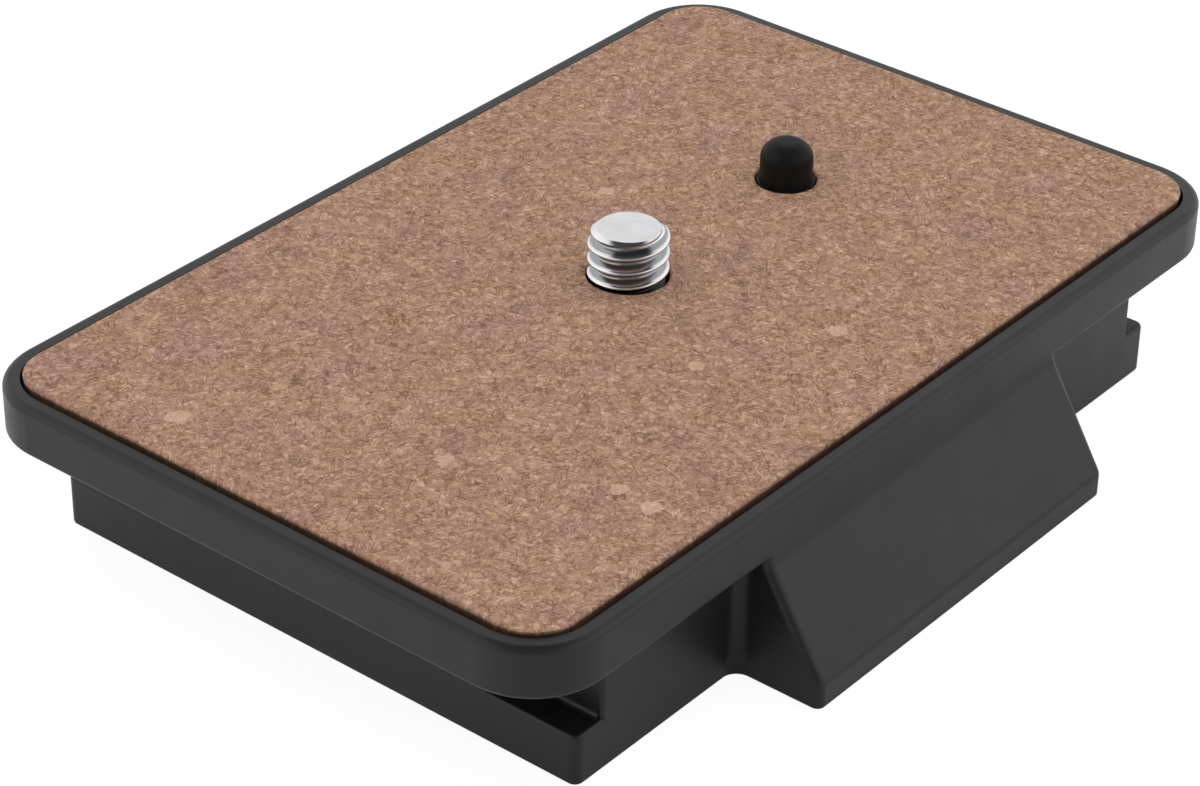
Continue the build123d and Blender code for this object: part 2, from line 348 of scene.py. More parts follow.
class FinishGraph(NodeGraph):
    """Node tree of one material, with its shader and its Object coordinates."""

    def __init__(self, name: str) -> None:
        """Makes the material.

        Args:
            name: Name of the material.
        """
        self.material = bpy.data.materials.new(name)
        self.material.use_nodes = True
        super().__init__(self.material.node_tree)
        self.shader = self.tree.nodes["Principled BSDF"]
        self.place = self.add("ShaderNodeTexCoord").outputs["Object"]

    def height(self) -> Socket:
        """Takes the height of a point."""
        split = self.add("ShaderNodeSeparateXYZ")
        self.feed(split.inputs["Vector"], self.place)
        return split.outputs["Z"]

    def reach(self, place: Socket, x: float = 0.0, y: float = 0.0) -> Socket:
        """Measures how far a point lies from an upright axis.

        Args:
            place: The point's coordinates.
            x: Place of the axis.
            y: Place of the axis.

        Returns:
            The distance's socket.
        """
        flat = self.vector("MULTIPLY", place, (1.0, 1.0, 0.0))
        return self.vector("LENGTH", self.vector("SUBTRACT", flat, (x, y, 0.0)))

    def finish(self, inputs: dict[str, object]) -> bpy.types.Material:
        """Gives the shader its values and patterns.

        Args:
            inputs: A number, a colour or a socket for each of the shader's inputs, by its name.

        Returns:
            The finished material.
        """
        for name, value in inputs.items():
            self.feed(self.shader.inputs[name], value)
        return self.material


@dataclass(frozen=True)
class MouldedPlastic:
    """Dark grey satin moulding, very finely grained. A pattern is a size in metres, a detail and a roughness.

    Attributes:
        name: Name of the material.
        tone: Colour as displayed.
        drift: Pattern of its changes of shade.
        drift_share: Strength of those changes.
        specular: Strength of the reflection.
        roughness: Mean roughness.
        blotch: Pattern of the duller and glossier spots.
        blotch_share: How far their roughness differs.
        grain: Pattern of the surface grain.
        grain_depth: Depth of the grain, in metres.
        grain_share: Share of that depth that shows.
    """

    name: str = "moulded_plastic"
    tone: Triple = (25, 25, 26)
    drift: Triple = (9 * MM, 3.0, 0.5)
    drift_share: float = 0.06
    specular: float = 0.36
    roughness: float = 0.38
    blotch: Triple = (2.5 * MM, 3.0, 0.5)
    blotch_share: float = 0.03
    grain: Triple = (0.16 * MM, 2.0, 0.6)
    grain_depth: float = 0.0015 * MM
    grain_share: float = 0.6

    def material(self) -> bpy.types.Material:
        """Builds the material."""
        nodes = FinishGraph(self.name)
        shade = nodes.swing(nodes.noise(*self.drift), 1 - self.drift_share, 1 + self.drift_share)
        dull = nodes.swing(nodes.noise(*self.blotch), self.roughness - self.blotch_share,
                           self.roughness + self.blotch_share)
        return nodes.finish({
            "Base Color": nodes.vector("SCALE", linear(*self.tone)[:3], shade),
            "Specular IOR Level": self.specular,
            "Roughness": dull,
            "Normal": nodes.relief(nodes.noise(*self.grain), self.grain_depth, self.grain_share),
        })


@dataclass(frozen=True)
class BlackSatin(MouldedPlastic):
    """Black finish of the locating pin, almost smooth."""

    name: str = "black_satin"
    tone: Triple = (23, 23, 24)
    drift: Triple = (0.5 * MM, 3.0, 0.6)
    drift_share: float = 0.15
    specular: float = 0.1
    roughness: float = 0.46
    blotch: Triple = (0.5 * MM, 3.0, 0.6)
    blotch_share: float = 0.04
    grain: Triple = (0.12 * MM, 2.0, 0.5)
    grain_depth: float = 0.0012 * MM
    grain_share: float = 0.5


@dataclass(frozen=True)
class AgglomeratedCork:
    """Cork granules pressed together, sliced and sanded flat. Colours are as displayed.

    Attributes:
        name: Name of the material.
        granule: Size of the larger granules, in metres.
        crumb: Size of the crumbs between them, in metres.
        grain: Length and width of the streaks inside a granule, in metres.
        ragged: Size and reach of the swirls that tear the granules' outlines, in metres.
        frayed: Size and reach of the finer swirls, in metres.
        weights: How much granules, crumbs and streaks count in the tone.
        tones: Colours from the darkest to the palest tone.
        patch: Size of the slow changes of tint, in metres.
        tints: Colours of those changes.
        tint_share: Strength of those changes.
        line_tone: Colour of the dark lines.
        line_share: Strength of the dark lines.
        sliver_field: Size of the fields that may hold one pale sliver, in metres.
        sliver_tone: Colour of the slivers.
        sliver_share: Strength of the slivers.
        flakes: Place and radius of the few large pale flakes, in millimetres.
        flake_tones: Colours of their streaks.
        flake_share: Strength of the flakes.
        top: Height of the pad's top, in metres.
        side: How far below the top the colour of the cut side is full, and where it begins, in metres.
        side_tone: Colour of the cut side.
        side_share: Strength of that colour.
        specular: Strength of the reflection.
        roughness: Roughness.
        relief_depth: Depth of the pits round the granules, in metres.
        relief_share: Share of that depth that shows.
        relief_parts: How much the tone raises that relief, and how much the dark lines sink it.
    """

    name: str = "agglomerated_cork"
    granule: float = 0.95 * MM
    crumb: float = 0.42 * MM
    grain: Triple = (0.7 * MM, 0.16 * MM, 1.0 * MM)
    ragged: tuple[float, float] = (0.9 * MM, 0.26 * MM)
    frayed: tuple[float, float] = (0.3 * MM, 0.07 * MM)
    weights: Triple = (0.13, 0.25, 0.62)
    tones: tuple = ((0.10, (110, 82, 67)), (0.34, (151, 119, 101)), (0.58, (171, 138, 117)),
                    (0.86, (205, 173, 150)))
    patch: float = 5 * MM
    tints: tuple = ((0.34, (250, 244, 251)), (0.50, (255, 251, 248)), (0.66, (255, 251, 238)))
    tint_share: float = 0.8
    line_tone: Triple = (96, 62, 45)
    line_share: float = 0.62
    sliver_field: float = 1.2 * MM
    sliver_tone: Triple = (208, 173, 150)
    sliver_share: float = 0.5
    flakes: tuple = ((3.8, -17.0, 0.8), (-7.0, -12.0, 0.65), (-23.2, -18.0, 0.7), (-23.5, -21.2, 0.85),
                     (-36.5, 11.7, 0.95), (-28.3, -6.4, 0.75), (9.0, 9.5, 0.7))
    flake_tones: tuple = ((0.3, (188, 152, 130)), (0.7, (212, 178, 156)))
    flake_share: float = 0.7
    top: float = 15.25 * MM
    side: tuple[float, float] = (0.4 * MM, 0.1 * MM)
    side_tone: Triple = (52, 34, 27)
    side_share: float = 0.92
    specular: float = 0.12
    roughness: float = 0.8
    relief_depth: float = 0.04 * MM
    relief_share: float = 0.8
    relief_parts: tuple[float, float] = (0.7, 0.5)

    def material(self) -> bpy.types.Material:
        """Builds the material."""
        nodes = FinishGraph(self.name)
        place = nodes.warp(nodes.warp(nodes.place, *self.ragged), *self.frayed)
        granules = nodes.cells(self.granule, place)
        crumbs = nodes.cells(self.crumb, place)
        streaks = self.streaks(nodes, granules, place)
        lines = self.lines(nodes, place, streaks)
        sources = (nodes.channel(granules, "Red"), nodes.channel(crumbs, "Green"),
                   nodes.span(streaks, *nodes.USUAL, smooth=False))
        first, second, third = [nodes.times(source, share) for source, share in zip(sources, self.weights)]
        tone = nodes.math("ADD", nodes.math("ADD", first, second), third)
        tint = nodes.ramp(nodes.noise(self.patch, 2.0, 0.5, 0.4), self.tints)
        colour = nodes.mix(self.tint_share, nodes.ramp(tone, self.tones), tint, "MULTIPLY")
        full, start = self.side
        layers = (
            (lines, self.line_share, linear(*self.line_tone)),
            (self.slivers(nodes), self.sliver_share, linear(*self.sliver_tone)),
            (self.large_flakes(nodes), self.flake_share, nodes.ramp(streaks, self.flake_tones)),
            (nodes.fade(nodes.height(), self.top - full, self.top - start), self.side_share,
             linear(*self.side_tone)),
        )
        for shown, share, paint in layers:
            colour = nodes.mix(nodes.times(shown, share), colour, paint)
        raised, hole_shadow_mask = self.relief_parts
        height = nodes.math("SUBTRACT", nodes.times(tone, raised), nodes.times(lines, hole_shadow_mask))
        return nodes.finish({
            "Base Color": colour,
            "Specular IOR Level": self.specular,
            "Roughness": self.roughness,
            "Normal": nodes.relief(height, self.relief_depth, self.relief_share),
        })

    def streaks(self, nodes: FinishGraph, granules: bpy.types.Node, place: Socket) -> Socket:
        """Draws the streaks inside the granules, each granule's turned its own way.

        Args:
            nodes: The node tree.
            granules: The granules' cell pattern.
            place: Ragged coordinates.

        Returns:
            The streaks' socket, from 0 to 1.
        """
        turned = nodes.add("ShaderNodeVectorRotate", rotation_type="Z_AXIS")
        nodes.feed(turned.inputs["Vector"], place)
        nodes.feed(turned.inputs["Angle"], nodes.times(nodes.channel(granules, "Blue"), 2 * math.pi))
        stretched = nodes.vector("DIVIDE", turned.outputs["Vector"], self.grain)
        return nodes.noise(1.0, 3.0, 0.62, 0.8, stretched)

    def lines(self, nodes: FinishGraph, place: Socket, streaks: Socket) -> Socket:
        """Draws short dark lines along the granules' borders and grain.

        Args:
            nodes: The node tree.
            place: Ragged coordinates.
            streaks: The streaks inside the granules.

        Returns:
            The lines' socket, from 0 to 1.
        """
        borders = nodes.cells(self.granule, place, "DISTANCE_TO_EDGE").outputs["Distance"]
        seams = nodes.cells(self.crumb, place, "DISTANCE_TO_EDGE").outputs["Distance"]
        swirl = nodes.noise(0.62 * MM, 2.0, 0.5, 0.6, place)
        wrinkles = nodes.math("ABSOLUTE", nodes.math("SUBTRACT", swirl, 0.5))
        drawn = nodes.times(nodes.fade(streaks, 0.24, 0.36), 0.5)
        for edge, width, breaks, start, full in (
            (borders, 0.07, nodes.noise(1.3 * MM, 2.0, 0.6), 0.47, 0.6),
            (seams, 0.1, nodes.noise(0.8 * MM, 2.0, 0.6, 0.5), 0.5, 0.64),
            (wrinkles, 0.028, nodes.noise(0.6 * MM, 2.0, 0.6, 0.3), 0.46, 0.56),
        ):
            line = nodes.times(nodes.fade(edge, 0.0, width), nodes.span(breaks, start, full))
            drawn = nodes.math("MAXIMUM", drawn, line)
        return drawn

    def slivers(self, nodes: FinishGraph) -> Socket:
        """Scatters small pale slivers."""
        squeezed = nodes.vector("MULTIPLY", nodes.warp(nodes.place, 0.8 * MM, 0.4 * MM), (1.0, 1.7, 1.0))
        fields = nodes.cells(self.sliver_field, squeezed)
        chosen = nodes.span(nodes.channel(fields, "Blue"), 0.8, 0.82)
        return nodes.times(chosen, nodes.fade(fields.outputs["Distance"], 0.16, 0.24))

    def large_flakes(self, nodes: FinishGraph) -> Socket:
        """Lays the few large pale flakes at their places, with soft edges."""
        ragged = nodes.warp(nodes.place, 0.8 * MM, 0.6 * MM, 3.0)
        shown = 0.0
        for x, y, radius in self.flakes:
            mask = nodes.fade(nodes.reach(ragged, x * MM, y * MM), radius * 0.85 * MM, radius * MM)
            shown = nodes.math("MAXIMUM", mask, shown)
        return shown


@dataclass(frozen=True)
class TurnedSteel:
    """Bright steel with the faint rings that a lathe or a polishing wheel leaves. Its colour holds painted
    shade in the thread's grooves and a painted shadow on the thread inside the cork's hole.

    Attributes:
        name: Name of the material.
        tone: Colour as displayed.
        roughness: Mean roughness.
        mark_width: Width of one turning mark, in metres.
        mark_depth: Depth of the marks, in metres.
        mark_share: Share of that depth that shows.
        smear: Size of the smears, in metres.
        shades: Darkest and palest shade of the smears, as shares of the tone.
        gloss: Least and greatest roughness of the marks, as shares of the mean.
        painted_groove_shade: Painted shade in the thread's grooves: the colour there, as displayed.
        painted_hole_shadow: Painted shadow on the thread inside the cork's hole: the colour there, as
            displayed.
        hole_top: Height at which that painted shadow ends, in metres.
        groove: Radius at the bottom and at the open side of the thread's grooves, over which the painted
            shade fades out, in metres.
        thread_zone: Lowest and highest point of the thread, in metres.
        blur: Width of the change between these zones, in metres.
    """

    name: str
    tone: Triple
    roughness: float
    mark_width: float = 0.09 * MM
    mark_depth: float = 0.0006 * MM
    mark_share: float = 0.5
    smear: float = 1.6 * MM
    shades: tuple[float, float] = (0.95, 1.04)
    gloss: tuple[float, float] = (0.8, 1.25)
    painted_groove_shade: Triple = (145, 147, 150)
    painted_hole_shadow: Triple = (45, 43, 42)
    hole_top: float = 15.3 * MM
    groove: tuple[float, float] = (2.85 * MM, 3.06 * MM)
    thread_zone: tuple[float, float] = (14.0 * MM, 18.95 * MM)
    blur: float = 0.05 * MM

    def material(self) -> bpy.types.Material:
        """Builds the material."""
        nodes = FinishGraph(self.name)
        radius, height = nodes.reach(nodes.place), nodes.height()
        rings = nodes.add("ShaderNodeCombineXYZ")
        nodes.feed(rings.inputs["X"], radius)
        nodes.feed(rings.inputs["Y"], height)
        marks = nodes.noise(self.mark_width, 3.0, 0.6, place=rings.outputs["Vector"])
        smears = nodes.noise(self.smear, 3.0, 0.6)
        low, high = self.thread_zone
        above = nodes.span(height, low - self.blur, low)
        threaded = nodes.times(above, nodes.fade(height, high, high + self.blur))
        # Painted shade: the steel turns darker in the thread's grooves.
        groove_shade_mask = nodes.times(threaded, nodes.fade(radius, *self.groove))
        # Painted shadow: the thread turns dark where it sits inside the cork's hole.
        hole_shadow_mask = nodes.times(above, nodes.fade(height, self.hole_top - 2 * self.blur, self.hole_top))
        steel = nodes.mix(groove_shade_mask, linear(*self.tone), linear(*self.painted_groove_shade))
        steel = nodes.mix(hole_shadow_mask, steel, linear(*self.painted_hole_shadow))
        return nodes.finish({
            "Base Color": nodes.vector("SCALE", steel, nodes.swing(smears, *self.shades)),
            "Metallic": 1.0,
            "Roughness": nodes.swing(marks, *[self.roughness * share for share in self.gloss]),
            "Normal": nodes.relief(marks, self.mark_depth, self.mark_share),
        })


@dataclass(frozen=True)
class SheetSteel:
    """Drawn or plated steel with fine scuffs that run one way.

    Attributes:
        name: Name of the material.
        tone: Colour as displayed.
        roughness: Mean roughness.
        streak: Length and width of the scuffs, in metres.
        scuff_depth: Depth of the scuffs, in metres.
        scuff_share: Share of that depth that shows.
        scuff_shades: Darkest and palest shade of the scuffs, as shares of the tone.
        gloss: Least and greatest roughness of the scuffs, as shares of the mean.
        bloom: Size of the cloudy spots, in metres.
        bloom_shades: Darkest and palest shade of those spots, as shares of the tone.
    """

    name: str
    tone: Triple
    roughness: float
    streak: Triple = (3.0 * MM, 0.12 * MM, 0.12 * MM)
    scuff_depth: float = 0.0008 * MM
    scuff_share: float = 0.5
    scuff_shades: tuple[float, float] = (0.95, 1.03)
    gloss: tuple[float, float] = (0.85, 1.2)
    bloom: float = 1.3 * MM
    bloom_shades: tuple[float, float] = (0.9, 1.06)

    def material(self) -> bpy.types.Material:
        """Builds the material."""
        nodes = FinishGraph(self.name)
        scuffs = nodes.noise(1.0, 3.0, 0.6, place=nodes.vector("DIVIDE", nodes.place, self.streak))
        bloom = nodes.noise(self.bloom, 4.0, 0.6)
        shade = nodes.times(nodes.swing(bloom, *self.bloom_shades), nodes.swing(scuffs, *self.scuff_shades))
        return nodes.finish({
            "Base Color": nodes.vector("SCALE", linear(*self.tone)[:3], shade),
            "Metallic": 1.0,
            "Roughness": nodes.swing(scuffs, *[self.roughness * share for share in self.gloss]),
            "Normal": nodes.relief(scuffs, self.scuff_depth, self.scuff_share),
        })


@dataclass(frozen=True)
class PhotoCamera:
    """Camera that sees the plate as the photograph does.

    Attributes:
        place: The lens's place in the plate's frame, in metres.
        azimuth: Turn about the upright axis, in degrees, 0 looking along +Y.
        elevation: Height above the horizon, in degrees.
        roll: Turn about the line of sight, in degrees.
        focal_px: Focal length in the photograph's pixels.
        image_width_px: Width of the photograph.
        sensor_width: Width of the sensor, in millimetres.
        clip: Nearest and farthest thing that it sees, in metres.
    """

    place: Triple = (-187.53 * MM, -148.51 * MM, 155.97 * MM)
    azimuth: float = -51.15
    elevation: float = 32.34
    roll: float = 0.98
    focal_px: float = 3643.0
    image_width_px: float = 1200.0
    sensor_width: float = 36.0
    clip: tuple[float, float] = (1 * MM, 50.0)

    def build(self) -> None:
        """Adds the camera and makes it the scene's own."""
        turn, rise, tilt = (math.radians(angle) for angle in (self.azimuth, self.elevation, self.roll))
        back = Vector((math.sin(turn) * math.cos(rise), -math.cos(turn) * math.cos(rise), math.sin(rise)))
        level = Vector((math.cos(turn), math.sin(turn), 0.0))
        upright = back.cross(level)
        right = math.cos(tilt) * level + math.sin(tilt) * upright
        up = math.cos(tilt) * upright - math.sin(tilt) * level
        matrix = Matrix((right, up, back)).transposed().to_4x4()
        matrix.translation = Vector(self.place)
        bpy.ops.object.camera_add()
        camera = bpy.context.object
        camera.name = "photo_camera"
        camera.matrix_world = matrix
        camera.data.sensor_width = self.sensor_width
        camera.data.lens = self.focal_px * self.sensor_width / self.image_width_px
        camera.data.clip_start, camera.data.clip_end = self.clip
        bpy.context.scene.camera = camera


@dataclass(frozen=True)
class Studio:
    """White floor under a dome of soft light: bright at both sides, dim overhead and in front.

    Attributes:
        floor_size: Side of the floor, in metres.
        floor_tone: Share of light that the floor gives back.
        shadow_share: Share of the floor's light, as the camera sees it, that a shadow can take away.
        mirror_share: The same share, as a reflection shows it.
        bounce_share: The same share of the light that the floor throws on the object.
        floor_glow: Strength of the floor's even light, so that open floor is white.
        dim_side: Azimuth of the side from which the floor throws less of that light, in degrees.
        dim_share: How much of it still comes from there.
        side_light: Strength of the dome at the camera's left and right.
        front_light: Strength of the dome on the camera's side.
        back_light: Strength of the dome behind the object.
        crown_light: Strength of the dome overhead.
        crown_rise: Elevation at which the crown begins, in degrees.
        crown_edge: How far below and above that elevation its light changes, as a share of the radius.
        front_turn: Where the light goes from back to front, as a share of the way to the camera.
        side_turn: Where the light of the sides begins and is full, as a share of the way sideways.
        dim_turn: The same for the dim side of the floor.
        lamp_size: Side of the lamps, in metres.
        lamp_height: Height of the overhead lamp, and depth of the one under the floor, in metres.
        lamp_power: Power of the overhead lamp, in watts.
        under_power: Power of the lamp under the floor, in watts.
    """

    floor_size: float = 8.0
    floor_tone: float = 0.8
    shadow_share: float = 0.2
    mirror_share: float = 0.62
    bounce_share: float = 0.7
    floor_glow: float = 1.16
    dim_side: float = -8.0
    dim_share: float = 0.55
    side_light: float = 1.3
    front_light: float = 0.3
    back_light: float = 0.95
    crown_light: float = 0.06
    crown_rise: float = 60.0
    crown_edge: tuple[float, float] = (0.03, 0.05)
    front_turn: tuple[float, float] = (-0.35, 0.25)
    side_turn: tuple[float, float] = (0.3, 0.85)
    dim_turn: tuple[float, float] = (0.3, 0.8)
    lamp_size: float = 0.5
    lamp_height: float = 0.6
    lamp_power: float = 1.6
    under_power: float = 0.75

    def build(self, camera: PhotoCamera) -> None:
        """Adds the world, the floor and the lamps, and sets the display.

        Args:
            camera: The camera, whose azimuth the dome's bright sides follow.
        """
        bpy.context.scene.view_settings.view_transform = "Standard"
        self.light_world(math.radians(camera.azimuth))
        self.lay_floor()
        self.hang_lamp("overhead_lamp", self.lamp_height, self.lamp_power, 0.0)
        self.hang_lamp("under_lamp", -self.lamp_height, self.under_power, math.pi)

    def light_world(self, azimuth: float) -> None:
        """Makes the dome: plain white to the camera, and shaped light to everything else.

        Args:
            azimuth: The camera's azimuth, in radians.
        """
        world = bpy.data.worlds.new("studio_dome")
        world.use_nodes = True
        bpy.context.scene.world = world
        graph = NodeGraph(world.node_tree)
        direction = graph.add("ShaderNodeTexCoord").outputs["Generated"]
        frontal, sideways, upward = [
            graph.vector("DOT_PRODUCT", direction, axis) for axis in (
                (math.sin(azimuth), -math.cos(azimuth), 0.0),
                (math.cos(azimuth), math.sin(azimuth), 0.0),
                (0.0, 0.0, 1.0),
            )
        ]
        light = graph.span(frontal, *self.front_turn, self.back_light, self.front_light)
        sides = graph.span(graph.math("ABSOLUTE", sideways), *self.side_turn)
        light = graph.lead(light, self.side_light, sides)
        below, above = self.crown_edge
        crown = math.sin(math.radians(self.crown_rise))
        light = graph.lead(light, self.crown_light, graph.span(upward, crown - below, crown + above))
        seen = graph.add("ShaderNodeLightPath").outputs["Is Camera Ray"]
        background = world.node_tree.nodes["Background"]
        graph.feed(background.inputs["Color"], graph.mix(seen, light, (1.0, 1.0, 1.0, 1.0)))
        background.inputs["Strength"].default_value = 1.0

    def lay_floor(self) -> None:
        """Lays the pale floor, which keeps the object's shadow and can be seen through from below."""
        bpy.ops.mesh.primitive_plane_add(size=self.floor_size)
        floor = bpy.context.object
        floor.name = "studio_floor"
        material = bpy.data.materials.new("pale_floor")
        material.use_nodes = True
        material.node_tree.nodes.clear()
        graph = NodeGraph(material.node_tree)
        rays = graph.add("ShaderNodeLightPath").outputs
        mirrored = graph.math("MAXIMUM", rays["Is Glossy Ray"], rays["Is Transmission Ray"])
        share = graph.span(mirrored, 0.0, 1.0, self.bounce_share, self.mirror_share, smooth=False)
        share = graph.span(rays["Is Camera Ray"], 0.0, 1.0, share, self.shadow_share, smooth=False)
        turn = math.radians(self.dim_side)
        spot = graph.vector("NORMALIZE", graph.add("ShaderNodeTexCoord").outputs["Object"])
        aside = graph.vector("DOT_PRODUCT", spot, (math.sin(turn), -math.cos(turn), 0.0))
        thrown = graph.span(aside, *self.dim_turn, self.floor_glow, self.floor_glow * self.dim_share)
        glow = graph.add("ShaderNodeEmission")
        graph.feed(glow.inputs["Strength"],
                   graph.span(rays["Is Camera Ray"], 0.0, 1.0, thrown, self.floor_glow, smooth=False))
        cloth = graph.add("ShaderNodeBsdfDiffuse")
        cloth.inputs["Color"].default_value = (self.floor_tone, self.floor_tone, self.floor_tone, 1.0)
        front = graph.either(share, glow.outputs[0], cloth.outputs[0])
        back = graph.add("ShaderNodeBsdfTransparent").outputs[0]
        faces = graph.either(graph.add("ShaderNodeNewGeometry").outputs["Backfacing"], front, back)
        graph.feed(graph.add("ShaderNodeOutputMaterial").inputs["Surface"], faces)
        floor.data.materials.append(material)
        floor.visible_shadow = False

    def hang_lamp(self, name: str, height: float, power: float, turn: float) -> None:
        """Hangs one soft lamp on the Z axis.

        Args:
            name: Name of the lamp.
            height: Its height, in metres.
            power: Its power, in watts.
            turn: Its turn about X, in radians, 0 for downward light.
        """
        bpy.ops.object.light_add(type="AREA", location=(0.0, 0.0, height), rotation=(turn, 0.0, 0.0))
        lamp = bpy.context.object
        lamp.name = name
        lamp.data.shape = "SQUARE"
        lamp.data.size = self.lamp_size
        lamp.data.energy = power
        lamp.visible_glossy = False
        lamp.visible_camera = False


class Workpiece:
    """A mesh in the making, shaped with Blender's modelling operators. Its object stays at the origin."""

    WELD = 1e-7        # metres within which two points of a finished mesh are one
    SEAM = 1e-6        # the same, where wound parts meet
    SHARP = math.radians(30.0)        # angle from which an edge is rounded

    def __init__(self, name: str) -> None:
        """Takes the primitive that was just added and puts its place into its mesh.

        Args:
            name: Name of the piece.
        """
        self.solid = bpy.context.object
        self.solid.name = name
        self.solid.data.name = name
        bpy.ops.object.transform_apply(location=True, rotation=True, scale=True)

    @classmethod
    def start(cls, name: str, primitive: Callable[..., set], **settings: object) -> "Workpiece":
        """Starts from one of Blender's primitives, added with nothing else selected.

        Args:
            name: Name of the piece.
            primitive: The operator that adds it.
            **settings: The operator's settings.

        Returns:
            The workpiece.
        """
        bpy.ops.object.select_all(action="DESELECT")
        primitive(**settings)
        return cls(name)

    @classmethod
    def turned(cls, name: str, profile: list[tuple[float, float]], sides: int) -> "Workpiece":
        """Makes a turned part on the Z axis: a round face, extruded ring by ring.

        Args:
            name: Name of the piece.
            profile: Radius and height of each ring, from the first face on.
            sides: Number of its sides.

        Returns:
            The workpiece.
        """
        radius, height = profile[0]
        part = cls.start(name, bpy.ops.mesh.primitive_circle_add, vertices=sides, radius=radius,
                         fill_type="NGON", location=(0.0, 0.0, height))
        part.open()
        for next_radius, next_height in profile[1:]:
            rise = (0.0, 0.0, next_height - height)
            bpy.ops.mesh.extrude_region_move(TRANSFORM_OT_translate={"value": rise})
            share = next_radius / radius
            bpy.ops.transform.resize(value=(share, share, 1.0), center_override=(0.0, 0.0, next_height))
            radius, height = next_radius, next_height
        part.face_outwards()
        part.close()
        return part

    @classmethod
    def block(cls, name: str, low: Triple, high: Triple) -> "Workpiece":
        """Starts from a box.

        Args:
            name: Name of the piece.
            low: Its low corner.
            high: Its high corner.

        Returns:
            The workpiece.
        """
        middle = [(a + b) / 2 for a, b in zip(low, high)]
        size = [b - a for a, b in zip(low, high)]
        return cls.start(name, bpy.ops.mesh.primitive_cube_add, size=1.0, location=middle, scale=size)

    @classmethod
    def drum(cls, name: str, radius: float, length: float, place: Triple, turn: Triple = (0.0, 0.0, 0.0),
             sides: int = 64) -> "Workpiece":
        """Starts from a cylinder.

        Args:
            name: Name of the piece.
            radius: Its radius.
            length: Its length.
            place: Its middle.
            turn: Its turn about each axis, from upright.
            sides: Number of its sides.

        Returns:
            The workpiece.
        """
        return cls.start(name, bpy.ops.mesh.primitive_cylinder_add, vertices=sides, radius=radius,
                         depth=length, location=place, rotation=turn)

    def activate(self) -> None:
        """Selects this piece alone."""
        bpy.ops.object.select_all(action="DESELECT")
        self.solid.select_set(True)
        bpy.context.view_layer.objects.active = self.solid

    def open(self, kind: str = "FACE", select: str = "SELECT") -> None:
        """Opens the piece for edits.

        Args:
            kind: VERT, EDGE or FACE, the kind of part that is picked.
            select: SELECT for the whole mesh, DESELECT for nothing.
        """
        self.activate()
        bpy.ops.object.mode_set(mode="EDIT")
        bpy.ops.mesh.select_mode(type=kind)
        bpy.ops.mesh.select_all(action=select)

    def close(self) -> None:
        """Closes the piece after edits."""
        bpy.ops.object.mode_set(mode="OBJECT")

    def pick(self, kind: str, wanted: Callable[[Vector, Vector], bool]) -> None:
        """Selects the parts whose middle and direction are as wanted, with the piece open.

        Args:
            kind: VERT, EDGE or FACE.
            wanted: Takes a part's middle, and its normal or its direction, and says whether it is picked.
        """
        bpy.ops.mesh.select_mode(type=kind)
        bpy.ops.mesh.select_all(action="DESELECT")
        mesh = bmesh.from_edit_mesh(self.solid.data)
        if kind == "VERT":
            for vert in mesh.verts:
                vert.select_set(wanted(vert.co, vert.normal))
        elif kind == "EDGE":
            for edge in mesh.edges:
                start, end = edge.verts
                edge.select_set(wanted((start.co + end.co) / 2, (end.co - start.co).normalized()))
        else:
            for face in mesh.faces:
                face.select_set(wanted(face.calc_center_median(), face.normal))
        mesh.select_flush_mode()
        bmesh.update_edit_mesh(self.solid.data)

    def face_outwards(self) -> None:
        """Turns every face outwards, with the piece open."""
        bpy.ops.mesh.select_all(action="SELECT")
        bpy.ops.mesh.normals_make_consistent(inside=False)

    def weld(self, reach: float) -> None:
        """Merges the points that lie closer together than a distance."""
        self.open("VERT")
        bpy.ops.mesh.remove_doubles(threshold=reach)
        self.close()

    def apply(self, kind: str, **settings: object) -> None:
        """Adds a modifier and applies it.

        Args:
            kind: Blender's name of the modifier type.
            **settings: Properties of the modifier.
        """
        self.activate()
        modifier = self.solid.modifiers.new(kind.lower(), kind)
        for key, value in settings.items():
            setattr(modifier, key, value)
        bpy.ops.object.modifier_apply(modifier=modifier.name)

    def wind(self, rise: float, turns: int, steps: int, merge: bool) -> None:
        """Winds an outline about the Z axis.

        Args:
            rise: Rise of one turn.
            turns: Number of turns.
            steps: Number of steps in one turn.
            merge: Whether points that meet are merged.
        """
        self.apply("SCREW", axis="Z", angle=2 * math.pi, screw_offset=rise, iterations=turns, steps=steps,
                   render_steps=steps, use_smooth_shade=True, use_merge_vertices=merge,
                   merge_threshold=self.SEAM)

    def work(self, tool: "Workpiece", way: Cut) -> None:
        """Joins another solid, cuts it away, or keeps what both share.

        Args:
            tool: The other solid, which is used up.
            way: What is done.
        """
        self.apply("BOOLEAN", object=tool.solid, operation=way.value, solver="EXACT")
        bpy.data.objects.remove(tool.solid)

    def break_edges(self, width: float) -> None:
        """Rounds the sharp edges in two steps."""
        self.apply("BEVEL", width=width, segments=2, limit_method="ANGLE", angle_limit=self.SHARP,
                   harden_normals=False, use_clamp_overlap=True)

    def slice(self, height: float, upward: bool) -> None:
        """Cuts the piece off at a height and closes the cut.

        Args:
            height: Height of the cut.
            upward: Whether the part above the cut goes.
        """
        self.open()
        bpy.ops.mesh.bisect(plane_co=(0.0, 0.0, height), plane_no=(0.0, 0.0, 1.0), use_fill=True,
                            clear_outer=upward, clear_inner=not upward, threshold=self.WELD)
        self.close()

    def shift(self, x: float, y: float, z: float) -> "Workpiece":
        """Moves the mesh.

        Args:
            x: Distance along X.
            y: Distance along Y.
            z: Distance along Z.

        Returns:
            The workpiece.
        """
        self.open()
        bpy.ops.transform.translate(value=(x, y, z))
        self.close()
        return self

    def twin(self, name: str) -> "Workpiece":
        """Copies the piece, with a mesh of its own.

        Args:
            name: Name of the copy.

        Returns:
            The copy.
        """
        self.activate()
        bpy.ops.object.duplicate(linked=False)
        return Workpiece(name)

